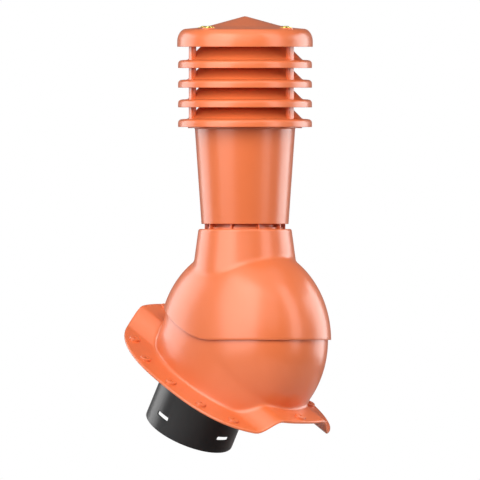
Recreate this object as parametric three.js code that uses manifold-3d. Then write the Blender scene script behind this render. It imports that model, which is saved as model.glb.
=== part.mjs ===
import * as THREE from 'three';
import { mergeVertices } from 'three/addons/utils/BufferGeometryUtils.js';
import Module from 'manifold-3d';

// Roof ventilation chimney, in millimetres and degrees.
// X runs across the slope, -Y down the slope, Z up.
// The origin is where the spigot's axis meets the plane that the flashing lies on.

// Roof and adjustment
const roofPitch = 30;
const tiltDownslope = 15;
const tiltUpslope = 10;
const pivotHeight = 79.6;
const spigotSetback = 38.3;

// Fits
const fitGap = 0.3;
const ballClearance = 0.9;

// Ball: a solid of revolution about a level axis across the slope.
// The base's part of it goes straight down to the plate below its widest outline.
const ballRadius = 157;
const ballHalfWidth = 110;
const ballRoundness = 2.25;
const hoodWall = 4;
const baseWall = 3.5;
const skirtInset = 6;
const seamCorner = 2;
const seamRise = 24.7;
const seamBend = 33;
const seamCover = 6;
const mouthStep = 20;

// Flashing: a plate moulded to lie along one tile wave
const plateThickness = 5;
const crestHeight = 29;
const crestHalfFlat = 46;
const crestHalfFoot = 84;
const bandDroop = 7.7;
const apronAlong = 41;
const apronAcross = 40.7;
const apronShift = 5.7;
const upslopeRoundness = 2.35;
const downslopeRoundness = 2.65;

// Pads that mark where the roofing screws go
const padRadius = 9;
const padHeight = 3.5;
const padHoleRadius = 2;
const padInset = 15;
const padStations = [-136, -78, -5, 70, 129];
const crestPadInset = 15;

// Spigot that the duct fits on, and the socket that holds it
const spigotRadius = 75;
const spigotWall = 3;
const spigotDrop = 112.2;
const spigotLip = 4;
const spigotLipThickness = 3;
const socketWall = 4.5;
const socketStand = 8;
const slotWidth = 26;
const slotHeight = 7;
const slotRise = 26.7;
const slotCount = 4;

// Collar on the hood, and the ribbed sleeve above it
const collarStand = 24;
const collarLedge = 2.4;
const collarEdgeRound = 3.2;
const collarEdgeDrop = 5;
const collarFlare = 10;
const collarWall = 3.5;
const sleeveRadius = 58;
const sleeveWall = 3;
const sleeveStand = 34;
const sleeveStep = 3.6;
const sleeveStepHeight = 3;
const ribCount = 9;
const ribThickness = 2.4;
const ribFirstAngle = 5;
const ribClearance = 1;

// Neck pipe
const neckGap = 8.2;
const neckBottomRadius = 71;
const neckTopRadius = 82;
const neckHeight = 158;
const neckWall = 3.3;
const neckLedgeThickness = 3;
const neckRimRadius = 93;
const neckRimThickness = 1.8;

// Louvre rings and the posts that space them
const louvreCount = 4;
const louvrePitch = 32.07;
const louvreRadius = 109.2;
const louvreWall = 3;
const louvreSkirt = 7;
const louvreRimHeight = 13.4;
const louvreRimRun = 15.4;
const louvreRimRound = 5;
const louvreConeRise = 23;
const postCount = 3;
const postDepth = 9;
const postWidth = 12.5;
const postOverhang = 3.1;
const postFirstAngle = 37.1;
const headRingOverhang = 1;
const headRingWidth = 14;
const headRingThickness = 4;

// Cap
const capLift = 34.6;
const capOverhang = 1.4;
const capWall = 3;
const capSkirt = 8.5;
const capShoulderHeight = 29.5;
const capShoulderRun = 15;
const capConeRadius = 65;
const capConeFoot = 32.3;
const capHeight = 50.2;

// Cap screws
const screwCount = 4;
const screwInset = 4.8;
const screwFirstAngle = 3.8;
const screwShankRadius = 2.2;
const screwShankLength = 20;
const washerRadius = 9.3;
const washerThickness = 1.2;
const headRadius = 5.6;
const headHeight = 1.9;
const screwPadRadius = 11.5;
const screwPadHeight = 0.6;

// How finely the curves are divided
const ballSides = 36;
const ballBands = 12;
const uprightSides = 26;
const outlineSteps = 44;
const waveSteps = 4;
const shoulderSteps = 3;
const smallSides = 8;
const holeSides = 4;

// Values worked out from the sizes above
const baseRadius = ballRadius - hoodWall - ballClearance;
const baseHalfWidth = ballHalfWidth - hoodWall - ballClearance;
const apronHalfLength = baseRadius + apronAlong;
const apronHalfWidth = baseHalfWidth + apronAcross;
const crestTop = crestHeight + plateThickness;
const socketTop = crestTop + socketStand;
const collarTopRadius = neckBottomRadius + collarLedge;
const collarTop = ballRadius + collarStand;
const neckBottom = collarTop + neckGap;
const neckTop = neckBottom + neckHeight;
const sleeveTop = collarTop + sleeveStand;
const louvreRimInner = louvreRadius - louvreRimRun;
const headRingRadius = louvreRimInner + headRingOverhang;
const topLouvre = neckTop + (louvreCount - 1) * louvrePitch;
const capBottom = topLouvre + capLift;
const capRadius = louvreRadius + capOverhang;
const capShoulderRadius = capRadius - capShoulderRun;
const screwCircle = louvreRimInner - screwInset;
const capUnderside = capShoulderHeight - capWall;
const reach = 4 * ballRadius;

const radians = THREE.MathUtils.degToRad;
const wasm = await Module();
wasm.setup();

// A closed geometry as a solid that can be joined and cut
function solid(geometry) {
  const bare = geometry.clone();
  bare.deleteAttribute('normal');
  bare.deleteAttribute('uv');
  const welded = mergeVertices(bare, 1e-3);
  const corners = welded.index.array;
  const triangles = [];
  for (let i = 0; i < corners.length; i += 3) {
    const [a, b, c] = corners.slice(i, i + 3);
    if (a !== b && b !== c && c !== a) {
      triangles.push(a, b, c);
    }
  }
  return new wasm.Manifold(new wasm.Mesh({
    numProp: 3,
    vertProperties: new Float32Array(welded.attributes.position.array),
    triVerts: new Uint32Array(triangles),
  }));
}

// A joined or cut solid as a three.js geometry
function geometryOf(shape) {
  const result = shape.getMesh();
  const geometry = new THREE.BufferGeometry();
  geometry.setAttribute('position', new THREE.BufferAttribute(result.vertProperties, 3));
  geometry.setIndex(new THREE.BufferAttribute(result.triVerts, 1));
  geometry.computeVertexNormals();
  return geometry;
}

function namedMesh(name, shape, finish) {
  const mesh = new THREE.Mesh(geometryOf(shape), finish);
  mesh.name = name;
  return mesh;
}

// A profile of [radius, height] points turned about Z, listed anticlockwise
function turned(profile, sides) {
  const points = profile.map(([radius, height]) => new THREE.Vector2(radius, height));
  return new THREE.LatheGeometry(points, sides).rotateX(Math.PI / 2);
}

function disc(radius, bottom, top, sides) {
  return turned([[0, bottom], [radius, bottom], [radius, top], [0, top]], sides);
}

// The same solid at equal angles round Z, joined into one
function aroundAxis(count, firstAngle, makeGeometry) {
  const step = 360 / count;
  let ring = null;
  for (let i = 0; i < count; i += 1) {
    const copy = solid(makeGeometry().rotateZ(radians(firstAngle + i * step)));
    ring = ring === null ? copy : ring.add(copy);
  }
  return ring;
}

// A side view of [upslope, up] points, made solid across the slope
function acrossSlope(points) {
  const width = 4 * ballHalfWidth;
  const outline = new THREE.Shape(points.map(([along, up]) => new THREE.Vector2(along, up)));
  const geometry = new THREE.ExtrudeGeometry(outline, { depth: width, bevelEnabled: false });
  const turn = new THREE.Matrix4().makeBasis(
    new THREE.Vector3(0, 1, 0),
    new THREE.Vector3(0, 0, 1),
    new THREE.Vector3(1, 0, 0),
  );
  return geometry.translate(0, 0, -width / 2).applyMatrix4(turn);
}

// An end view of [across, up] points, made solid along the slope
function alongSlope(points) {
  const outline = new THREE.Shape(points.map(([across, up]) => new THREE.Vector2(across, up)));
  const geometry = new THREE.ExtrudeGeometry(outline, { depth: 2 * reach, bevelEnabled: false });
  const turn = new THREE.Matrix4().makeBasis(
    new THREE.Vector3(1, 0, 0),
    new THREE.Vector3(0, 0, 1),
    new THREE.Vector3(0, -1, 0),
  );
  return geometry.translate(0, 0, -reach).applyMatrix4(turn);
}

// Half of the ball's outline as [distance from the tilt axis, place along it]
function ballProfile(radius, halfWidth) {
  const power = 2 / ballRoundness;
  const profile = [];
  for (let band = 0; band <= ballBands; band += 1) {
    const angle = Math.PI * band / ballBands;
    const along = Math.cos(angle);
    profile.push([
      radius * Math.sin(angle) ** power,
      -halfWidth * Math.sign(along) * Math.abs(along) ** power,
    ]);
  }
  return profile;
}

// The ball: its outline turned about the tilt axis
function ball(radius, halfWidth) {
  return turned(ballProfile(radius, halfWidth), ballSides).rotateY(Math.PI / 2);
}

// The straight wall below the ball's widest outline, along the roof's normal
function ballSkirt(halfLength, halfWidth) {
  const side = ballProfile(halfLength, halfWidth).slice(1);
  const upslope = side.map(([along, across]) => new THREE.Vector2(across, along));
  const downslope = side.map(([along, across]) => new THREE.Vector2(-across, -along));
  const outline = new THREE.Shape([...upslope, ...downslope]);
  const depth = pivotHeight + crestTop;
  const wall = new THREE.ExtrudeGeometry(outline, { depth, bevelEnabled: false });
  return solid(wall.translate(0, -spigotSetback, -crestTop));
}

// Height of the plate's underside above the crest's foot; the outer bands droop below it
function waveHeight(across) {
  const inward = crestHalfFoot - Math.abs(across);
  if (inward < 0) {
    return bandDroop * inward / (apronHalfWidth - crestHalfFoot);
  }
  const climb = Math.min(1, inward / (crestHalfFoot - crestHalfFlat));
  return crestHeight * climb * climb * (3 - 2 * climb);
}

function waveLine(lift) {
  const end = waveHeight(reach) + lift;
  const line = [[-reach, end]];
  for (const side of [-1, 1]) {
    const [from, to] = side < 0 ? [crestHalfFoot, crestHalfFlat] : [crestHalfFlat, crestHalfFoot];
    for (let step = 0; step <= waveSteps; step += 1) {
      const across = side * THREE.MathUtils.lerp(from, to, step / waveSteps);
      line.push([across, waveHeight(across) + lift]);
    }
  }
  line.push([reach, end]);
  return line;
}

// Everything from a wave surface up to a level far above it
function aboveWave(lift) {
  return solid(alongSlope([...waveLine(lift), [reach, reach], [-reach, reach]]));
}

// Half the plate's width at a distance upslope of its middle, less an inset
function apronAcrossAt(along, inset) {
  const roundness = along > 0 ? upslopeRoundness : downslopeRoundness;
  const share = Math.abs(along) / (apronHalfLength - inset);
  return (apronHalfWidth - inset) * (1 - share ** roundness) ** (1 / roundness);
}

// Upslope place of the plate's middle, from the spigot's axis
const apronMiddle = apronShift - spigotSetback;

function apronOutline() {
  const outline = new THREE.Shape();
  for (let step = 0; step < outlineSteps; step += 1) {
    const angle = 2 * Math.PI * step / outlineSteps;
    const [across, along] = [Math.cos(angle), Math.sin(angle)];
    const power = 2 / (along > 0 ? upslopeRoundness : downslopeRoundness);
    const x = apronHalfWidth * Math.sign(across) * Math.abs(across) ** power;
    const y = apronHalfLength * Math.sign(along) * Math.abs(along) ** power;
    if (step === 0) {
      outline.moveTo(x, apronMiddle + y);
    } else {
      outline.lineTo(x, apronMiddle + y);
    }
  }
  return outline;
}

function plate() {
  const depth = 2 * crestTop;
  const prism = new THREE.ExtrudeGeometry(apronOutline(), { depth, bevelEnabled: false });
  prism.translate(0, 0, crestTop - depth);
  return solid(prism).intersect(aboveWave(0)).subtract(aboveWave(plateThickness));
}

// A place on the plate for each screw: [across, up the slope, height of the top]
function padPlaces() {
  const places = [];
  for (const station of padStations) {
    const across = apronAcrossAt(station, padInset);
    for (const side of [-1, 1]) {
      places.push([side * across, apronMiddle + station]);
    }
  }
  places.push([0, apronMiddle + apronHalfLength - crestPadInset]);
  places.push([0, apronMiddle - apronHalfLength + crestPadInset]);
  return places.map(([x, y]) => [x, y, waveHeight(x) + plateThickness]);
}

function addPads(shape) {
  let result = shape;
  for (const [x, y, top] of padPlaces()) {
    const pad = disc(padRadius, top - plateThickness / 2, top + padHeight, smallSides);
    const hole = disc(padHoleRadius, top - 2 * plateThickness, top + 2 * padHeight, holeSides);
    result = result.add(solid(pad.translate(x, y, 0)));
    result = result.subtract(solid(hole.translate(x, y, 0)));
  }
  return result;
}

// A piece shaped about the tilt axis, brought into the roof's frame
function aboutPivotOnRoof(geometry) {
  return solid(geometry.rotateX(-radians(roofPitch)).translate(0, -spigotSetback, pivotHeight));
}

// The base's mouth, which the hood still covers at both ends of its tilt
function mouth() {
  const down = Math.tan(radians(tiltUpslope + seamCover));
  const up = Math.tan(radians(seamRise + tiltDownslope + seamCover));
  return acrossSlope([
    [0, mouthStep],
    [reach, mouthStep + reach * up],
    [-reach, mouthStep + reach * up],
    [-reach, mouthStep + reach * down],
  ]);
}

function baseFlashing() {
  const holeRadius = spigotRadius + fitGap;
  const innerRadius = baseRadius - baseWall;
  const innerHalfWidth = baseHalfWidth - baseWall;
  const hollow = aboutPivotOnRoof(ball(innerRadius, innerHalfWidth))
    .add(ballSkirt(innerRadius - skirtInset, innerHalfWidth));
  const shell = aboutPivotOnRoof(ball(baseRadius, baseHalfWidth))
    .add(ballSkirt(baseRadius - skirtInset, baseHalfWidth))
    .subtract(hollow.intersect(aboveWave(plateThickness)))
    .intersect(aboveWave(0))
    .subtract(aboutPivotOnRoof(mouth()));
  const socket = solid(disc(holeRadius + socketWall, -1, socketTop, uprightSides))
    .intersect(aboveWave(0));
  const body = addPads(shell.add(plate()).add(socket));
  return body.subtract(solid(disc(holeRadius, -crestTop, socketTop + 1, uprightSides)));
}

function spigotPipe() {
  const inner = spigotRadius - spigotWall;
  const lipBottom = socketTop + fitGap;
  const lipTop = lipBottom + spigotLipThickness;
  const pipe = solid(turned([
    [spigotRadius, -spigotDrop],
    [spigotRadius, lipBottom],
    [spigotRadius + spigotLip, lipBottom],
    [spigotRadius + spigotLip, lipTop],
    [inner, lipTop],
    [inner, -spigotDrop],
    [spigotRadius, -spigotDrop],
  ], uprightSides));
  const slots = aroundAxis(slotCount, 0, () => {
    const slot = new THREE.BoxGeometry(4 * spigotWall, slotWidth, slotHeight);
    return slot.translate(spigotRadius - spigotWall / 2, 0, slotRise - spigotDrop);
  });
  return pipe.subtract(slots);
}

// Everything below the hood's lower edge: level downslope, rising upslope
function belowSeam() {
  const rise = radians(seamRise);
  const bend = new THREE.QuadraticBezierCurve(
    new THREE.Vector2(seamCorner - seamBend, 0),
    new THREE.Vector2(seamCorner, 0),
    new THREE.Vector2(seamCorner + seamBend * Math.cos(rise), seamBend * Math.sin(rise)),
  );
  const curve = bend.getPoints(shoulderSteps).map((point) => [point.x, point.y]);
  return acrossSlope([
    [-reach, 0],
    ...curve,
    [reach, (reach - seamCorner) * Math.tan(rise)],
    [reach, -reach],
    [-reach, -reach],
  ]);
}

function hood() {
  const foot = collarTop - ballRadius / 2;
  const edge = collarTopRadius + collarEdgeRound;
  const flared = edge + collarFlare;
  const throat = flared - collarWall;
  const bore = sleeveRadius - sleeveWall;
  const collar = solid(turned([
    [0, foot],
    [flared, foot],
    [edge, collarTop - collarEdgeDrop],
    [collarTopRadius, collarTop],
    [sleeveRadius + sleeveStep, collarTop],
    [sleeveRadius + sleeveStep, collarTop + sleeveStepHeight],
    [sleeveRadius, collarTop + sleeveStepHeight],
    [sleeveRadius, sleeveTop],
    [0, sleeveTop],
  ], uprightSides));
  const airway = solid(turned([
    [0, 0],
    [throat, 0],
    [throat, foot],
    [edge - collarWall, collarTop - collarEdgeDrop - collarWall],
    [bore, collarTop - collarWall],
    [bore, sleeveTop + 1],
    [0, sleeveTop + 1],
  ], uprightSides));
  const ribReach = neckBottomRadius - neckWall - ribClearance;
  const ribs = aroundAxis(ribCount, ribFirstAngle, () => {
    const depth = ribReach - bore - sleeveWall / 2;
    const rib = new THREE.BoxGeometry(depth, ribThickness, sleeveStand);
    return rib.translate(ribReach - depth / 2, 0, collarTop + sleeveStand / 2 - fitGap);
  });
  const outside = solid(ball(ballRadius, ballHalfWidth)).add(collar).add(ribs);
  return outside
    .subtract(solid(ball(ballRadius - hoodWall, ballHalfWidth - hoodWall)))
    .subtract(airway)
    .subtract(solid(belowSeam()));
}

// The underside of a louvre's cone, 45 degrees, at a radius
function coneUnderside(radius) {
  return louvreRimHeight + louvreRimInner - radius - louvreWall * Math.SQRT2;
}

function neckPipe() {
  const bottom = neckBottom;
  const ledge = sleeveTop + fitGap;
  const innerAt = (height) => {
    const share = (height - bottom) / neckHeight;
    return THREE.MathUtils.lerp(neckBottomRadius, neckTopRadius, share) - neckWall;
  };
  const seatOuter = neckTop + coneUnderside(neckTopRadius) - 2 * fitGap;
  return solid(turned([
    [neckBottomRadius, bottom],
    [neckTopRadius, neckTop - neckRimThickness],
    [neckRimRadius, neckTop - neckRimThickness],
    [neckRimRadius, neckTop],
    [neckTopRadius, neckTop],
    [neckTopRadius, seatOuter],
    [neckTopRadius - neckWall, seatOuter + neckWall],
    [neckTopRadius - neckWall, neckTop],
    [innerAt(ledge + neckLedgeThickness), ledge + neckLedgeThickness],
    [sleeveRadius - sleeveWall, ledge + neckLedgeThickness],
    [sleeveRadius - sleeveWall, ledge],
    [innerAt(ledge), ledge],
    [neckBottomRadius - neckWall, bottom],
    [neckBottomRadius, bottom],
  ], uprightSides));
}

function louvreOutside() {
  const inner = louvreRimInner - louvreConeRise;
  const top = louvreRimHeight + louvreConeRise;
  return turned([
    [0, 0],
    [louvreRadius, 0],
    [louvreRadius, louvreSkirt],
    [louvreRadius - louvreRimRound, louvreRimHeight - 1],
    [louvreRimInner, louvreRimHeight],
    [inner, top],
    [0, top],
  ], uprightSides);
}

function louvreHollow() {
  const side = louvreRadius - louvreWall;
  const ceiling = louvreRimHeight - louvreWall;
  const coneFoot = louvreRimInner - louvreWall * (Math.SQRT2 - 1);
  const throat = louvreRimInner - louvreConeRise - louvreWall / Math.SQRT2;
  return turned([
    [0, -1],
    [side, -1],
    [side, louvreSkirt - 1],
    [side - louvreRimRound + 1, ceiling],
    [coneFoot, ceiling],
    [throat, coneUnderside(throat)],
    [throat, louvreRimHeight + 2 * louvreConeRise],
    [0, louvreRimHeight + 2 * louvreConeRise],
  ], uprightSides);
}

// A louvre ring whose posts rise to the underside of what it carries
function louvreRing(postTop) {
  const foot = louvreRimHeight - louvreWall;
  const height = postTop - foot;
  const posts = aroundAxis(postCount, postFirstAngle, () => {
    const post = new THREE.BoxGeometry(postDepth, postWidth, height);
    return post.translate(louvreRimInner + postOverhang - postDepth / 2, 0, foot + height / 2);
  });
  return solid(louvreOutside()).add(posts).subtract(solid(louvreHollow()));
}

// A flat ring on the top louvre's posts, which the cap is screwed to
function headRing(top) {
  const inner = headRingRadius - headRingWidth;
  return solid(turned([
    [headRingRadius, top - headRingThickness],
    [headRingRadius, top],
    [inner, top],
    [inner, top - headRingThickness],
    [headRingRadius, top - headRingThickness],
  ], uprightSides));
}

function screwHoles(bottom, top) {
  const radius = screwShankRadius + fitGap;
  return aroundAxis(screwCount, screwFirstAngle, () => (
    disc(radius, bottom, top, smallSides).translate(screwCircle, 0, 0)
  ));
}

function topLouvreRing() {
  const top = capLift + capUnderside - fitGap;
  const holes = screwHoles(top - screwShankLength, top + 1);
  return louvreRing(top - headRingThickness / 2).add(headRing(top)).subtract(holes);
}

// Height of the cap's shoulder, from its lower edge, at a radius
function shoulderHeight(radius) {
  const share = (capShoulderRadius - radius) / (capShoulderRadius - capConeRadius);
  return THREE.MathUtils.lerp(capShoulderHeight, capConeFoot, share);
}

// A quarter of an ellipse from a wall's top to the shoulder
function shoulderCurve(side, skirt, shoulder, height) {
  const curve = [];
  for (let step = 0; step <= shoulderSteps; step += 1) {
    const angle = Math.PI / 2 * step / shoulderSteps;
    const radius = shoulder + (side - shoulder) * Math.cos(angle);
    curve.push([radius, skirt + (height - skirt) * Math.sin(angle)]);
  }
  return curve;
}

const padTop = shoulderHeight(screwCircle) + screwPadHeight;

function cap() {
  const outside = solid(turned([
    [0, 0],
    [capRadius, 0],
    ...shoulderCurve(capRadius, capSkirt, capShoulderRadius, capShoulderHeight),
    [capConeRadius, capConeFoot],
    [0, capHeight],
  ], uprightSides));
  const hollow = solid(turned([
    [0, -1],
    [capRadius - capWall, -1],
    ...shoulderCurve(capRadius - capWall, capSkirt, capShoulderRadius, capUnderside),
    [capConeRadius, capConeFoot - capWall],
    [0, capHeight - capWall],
  ], uprightSides));
  const pads = aroundAxis(screwCount, screwFirstAngle, () => (
    disc(screwPadRadius, capUnderside + capWall / 2, padTop, smallSides).translate(screwCircle, 0, 0)
  ));
  const holes = screwHoles(0, capHeight);
  return outside.add(pads).subtract(hollow).subtract(holes);
}

function capScrew() {
  const washerTop = washerThickness;
  return solid(turned([
    [0, -screwShankLength],
    [screwShankRadius, -screwShankLength + screwShankRadius],
    [screwShankRadius, 0],
    [washerRadius, 0],
    [washerRadius, washerTop / 2],
    [headRadius, washerTop],
    [headRadius * 0.8, washerTop + headHeight * 0.75],
    [0, washerTop + headHeight],
  ], smallSides));
}

function finish(color, roughness, metalness) {
  return new THREE.MeshStandardMaterial({ color, roughness, metalness });
}

const terracotta = () => finish(0xe2683a, 0.38, 0);
const blackPlastic = () => finish(0x262626, 0.42, 0);
const yellowZinc = () => finish(0xd9b93a, 0.3, 1);

// The fixed pieces lie with the roof
const onRoof = new THREE.Group();
onRoof.rotation.x = radians(roofPitch);
onRoof.add(namedMesh('base_flashing', baseFlashing(), terracotta()));
onRoof.add(namedMesh('spigot_pipe', spigotPipe(), blackPlastic()));

// The tilting pieces stand plumb over the pivot
const plumb = new THREE.Group();
plumb.position.set(0, -spigotSetback, pivotHeight);
plumb.position.applyAxisAngle(new THREE.Vector3(1, 0, 0), radians(roofPitch));
plumb.add(namedMesh('hood', hood(), terracotta()));
plumb.add(namedMesh('neck_pipe', neckPipe(), terracotta()));

for (let i = 0; i < louvreCount; i += 1) {
  const isTop = i === louvreCount - 1;
  const postTop = louvrePitch + louvreRimHeight - louvreWall - fitGap;
  const ring = isTop ? topLouvreRing() : louvreRing(postTop);
  const mesh = namedMesh(`louvre_ring_${i + 1}`, ring, terracotta());
  mesh.position.z = neckTop + i * louvrePitch;
  plumb.add(mesh);
}

const capMesh = namedMesh('cap', cap(), terracotta());
capMesh.position.z = capBottom;
plumb.add(capMesh);

for (let i = 0; i < screwCount; i += 1) {
  const screw = namedMesh(`cap_screw_${i + 1}`, capScrew(), yellowZinc());
  const angle = radians(screwFirstAngle + i * 360 / screwCount);
  screw.position.set(
    screwCircle * Math.cos(angle),
    screwCircle * Math.sin(angle),
    capBottom + padTop + fitGap,
  );
  plumb.add(screw);
}

const chimney = new THREE.Group();
chimney.add(onRoof, plumb);
chimney.updateMatrixWorld(true);

export default chimney;
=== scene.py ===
# %% [markdown]
# # A roof ventilation chimney in moulded plastic
#
# This lesson dresses a measured model of a chimney that lets stale air out through a pitched roof.
# It has a wave-shaped flashing that lies on the tiles, a ball that sets the neck plumb on any pitch,
# a tapered neck, four louvre rings under a cap, and a black spigot below for the duct.
# The measured model comes first, because every smooth piece is laid over one of its solids.

# %% Load the measured model
import math

import bmesh
import bpy
import numpy as np
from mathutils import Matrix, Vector


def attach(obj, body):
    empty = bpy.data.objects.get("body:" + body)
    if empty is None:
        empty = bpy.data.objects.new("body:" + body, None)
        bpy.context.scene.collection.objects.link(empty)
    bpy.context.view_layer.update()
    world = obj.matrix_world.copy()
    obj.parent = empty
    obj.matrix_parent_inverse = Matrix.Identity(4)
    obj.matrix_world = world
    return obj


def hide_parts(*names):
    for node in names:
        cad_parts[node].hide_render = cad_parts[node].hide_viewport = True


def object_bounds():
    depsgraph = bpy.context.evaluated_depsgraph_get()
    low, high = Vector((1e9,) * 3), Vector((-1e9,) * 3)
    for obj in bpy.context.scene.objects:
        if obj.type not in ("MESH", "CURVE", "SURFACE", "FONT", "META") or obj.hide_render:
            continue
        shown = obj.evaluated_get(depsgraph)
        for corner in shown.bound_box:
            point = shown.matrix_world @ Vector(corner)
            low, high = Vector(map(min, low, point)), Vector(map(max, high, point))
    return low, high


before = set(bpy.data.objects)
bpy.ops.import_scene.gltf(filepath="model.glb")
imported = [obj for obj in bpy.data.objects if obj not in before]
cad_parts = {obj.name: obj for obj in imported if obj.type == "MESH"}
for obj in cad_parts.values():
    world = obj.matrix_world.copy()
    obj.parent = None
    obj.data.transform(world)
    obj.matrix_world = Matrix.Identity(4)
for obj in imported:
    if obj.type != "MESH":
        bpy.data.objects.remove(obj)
cad_box = [list(corner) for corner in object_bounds()]
print("solids:", sorted(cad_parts))
print("box in mm:", [[round(1000 * x, 1) for x in corner] for corner in cad_box])

# %% [markdown]
# ## Two frames and one pivot
#
# The flashing and the spigot lie with the roof, which rises 30 degrees. The hood and all that it carries
# stand plumb over the pivot, the middle of the ball. The real maker works in the same two frames.
# One could turn whole objects instead, but a finished piece keeps its place in its mesh,
# so points are turned here, in millimetres, before a mesh is made of them.

# %% The two frames
MM = 0.001
ROOF_PITCH = math.radians(30)
PIVOT_HEIGHT = 79.6
SPIGOT_SETBACK = 38.3


def lay_on_roof(points):
    """Points in millimetres on the roof's own axes, as metres on the model's upright axes."""
    points = np.asarray(points, float)
    c, s = math.cos(ROOF_PITCH), math.sin(ROOF_PITCH)
    x, y, z = points[..., 0], points[..., 1], points[..., 2]
    return np.stack([x, y * c - z * s, y * s + z * c], -1) * MM


PIVOT = lay_on_roof([0, -SPIGOT_SETBACK, PIVOT_HEIGHT])


def stand_plumb(points):
    """Points in millimetres measured from the pivot, as metres on the model's upright axes."""
    return np.asarray(points, float) * MM + PIVOT


print("pivot in mm:", np.round(PIVOT / MM, 2))

# %% [markdown]
# ## From a section to a skin
#
# Injection moulding gives round pieces of even wall. A section that is carried round an axis makes
# such a piece. Blender's Screw modifier could do it, but the ball is not round: its section changes
# with the direction, so the points are worked out row by row and joined by quads.
# A closed section carried all the way round has no seam and no open edge.
# An edge sharper than the crease angle, in degrees, stays sharp, and all others are shaded smooth.

# %% Helpers that make closed meshes
CREASE = 38
BALL_CREASE = 50


def skin(name, rows, material, closed_section=True, crease=CREASE):
    """Joins rows of points, one row for each direction round an axis, into one closed mesh."""
    around, along = rows.shape[:2]
    steps = along if closed_section else along - 1
    i = np.arange(around)[:, None]
    j = np.arange(steps)[None, :]
    quads = np.stack([
        i * along + j,
        (i + 1) % around * along + j,
        (i + 1) % around * along + (j + 1) % along,
        i * along + (j + 1) % along,
    ], -1).reshape(-1, 4)
    mesh = bpy.data.meshes.new(name)
    mesh.from_pydata(rows.reshape(-1, 3).tolist(), [], quads.tolist())
    return finish_mesh(name, mesh, material, crease)


def finish_mesh(name, mesh, material, crease=CREASE):
    """Merges doubles, turns faces outwards, smooths all but the creases and links an object."""
    shape = bmesh.new()
    shape.from_mesh(mesh)
    bmesh.ops.remove_doubles(shape, verts=shape.verts, dist=2e-6)
    bmesh.ops.dissolve_degenerate(shape, edges=shape.edges, dist=1e-6)
    bmesh.ops.recalc_face_normals(shape, faces=shape.faces)
    if shape.calc_volume(signed=True) < 0:
        bmesh.ops.reverse_faces(shape, faces=shape.faces)
    open_edges = sum(1 for edge in shape.edges if len(edge.link_faces) != 2)
    shape.to_mesh(mesh)
    shape.free()
    mesh.shade_smooth()
    mesh.set_sharp_from_angle(angle=math.radians(crease))
    mesh.materials.clear()
    mesh.materials.append(material)
    piece = bpy.data.objects.new(name, mesh)
    bpy.context.scene.collection.objects.link(piece)
    print(f"{name}: {len(mesh.polygons)} faces, {open_edges} open edges")
    return piece


def eased(corners, closed=True, steps=5):
    """Corners as (radius, height, ease). An eased corner becomes a short curve, as a mould has."""
    line = []
    for i, (r, z, ease) in enumerate(corners):
        corner = Vector((r, z))
        ends = i in (0, len(corners) - 1) and not closed
        if ease == 0 or ends:
            line.append((r, z))
            continue
        to_last = Vector(corners[i - 1][:2]) - corner
        to_next = Vector(corners[(i + 1) % len(corners)][:2]) - corner
        start = corner + to_last.normalized() * min(ease, to_last.length / 2)
        end = corner + to_next.normalized() * min(ease, to_next.length / 2)
        for step in range(steps + 1):
            t = step / steps
            line.append(tuple((1 - t) ** 2 * start + 2 * t * (1 - t) * corner + t * t * end))
    return line


def turn(section, sides, centre=(0, 0, 0)):
    """Carries a section of (radius, height) points round an upright axis."""
    angle = np.linspace(0, 2 * math.pi, sides, endpoint=False)[:, None]
    radius = np.array([point[0] for point in section])[None, :]
    height = np.array([point[1] for point in section])[None, :] + 0 * angle
    rows = np.stack([radius * np.cos(angle), radius * np.sin(angle), height], -1)
    return rows + np.array(centre)


def halve(rises_past_zero, low, high):
    """Finds, for every direction at once, where a rising function passes zero."""
    for _ in range(40):
        middle = (low + high) / 2
        past = rises_past_zero(middle) > 0
        low, high = np.where(past, low, middle), np.where(past, middle, high)
    return (low + high) / 2


# %% [markdown]
# ## Helpers for node trees
#
# Louvres, posts, ribs, pads and screws repeat by a rule, so Geometry Nodes make them.
# Each tree has named inputs for its sizes. A modifier takes an input by its identifier,
# and the result is made into a plain mesh, so that nothing is left to work out later.

# %% Helpers that build and apply node trees


def new_tree(title, inputs):
    """An empty Geometry Nodes tree with named inputs, given as (name, socket kind, value)."""
    tree = bpy.data.node_groups.new(title, "GeometryNodeTree")
    tree.interface.new_socket("Geometry", in_out="INPUT", socket_type="NodeSocketGeometry")
    for name, kind, value in inputs:
        socket = tree.interface.new_socket(name, in_out="INPUT", socket_type=kind)
        if value is not None:
            socket.default_value = value
    tree.interface.new_socket("Geometry", in_out="OUTPUT", socket_type="NodeSocketGeometry")
    return tree, tree.nodes.new("NodeGroupInput"), tree.nodes.new("NodeGroupOutput")


def add_node(tree, kind, links=None, **settings):
    """Adds a node, sets its properties, and links or fills its inputs by name."""
    made = tree.nodes.new(kind)
    for key, value in settings.items():
        setattr(made, key, value)
    for key, source in (links or {}).items():
        if isinstance(source, bpy.types.NodeSocket):
            tree.links.new(source, made.inputs[key])
        else:
            made.inputs[key].default_value = source
    return made


def apply_tree(name, mesh, tree, values, material, crease=CREASE):
    """Runs a tree on a mesh, with the material as its finish, and returns one finished piece."""
    values = {**values, "Finish": material}
    carrier = bpy.data.objects.new(name + ".carrier", mesh)
    modifier = carrier.modifiers.new(tree.name, "NODES")
    modifier.node_group = tree
    for item in tree.interface.items_tree:
        if item.in_out == "INPUT" and item.name in values:
            modifier[item.identifier] = values[item.name]
    bpy.context.scene.collection.objects.link(carrier)
    graph = bpy.context.evaluated_depsgraph_get()
    result = bpy.data.meshes.new_from_object(carrier.evaluated_get(graph))
    bpy.data.objects.remove(carrier)
    result.name = name
    return finish_mesh(name, result, material, crease)


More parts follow.
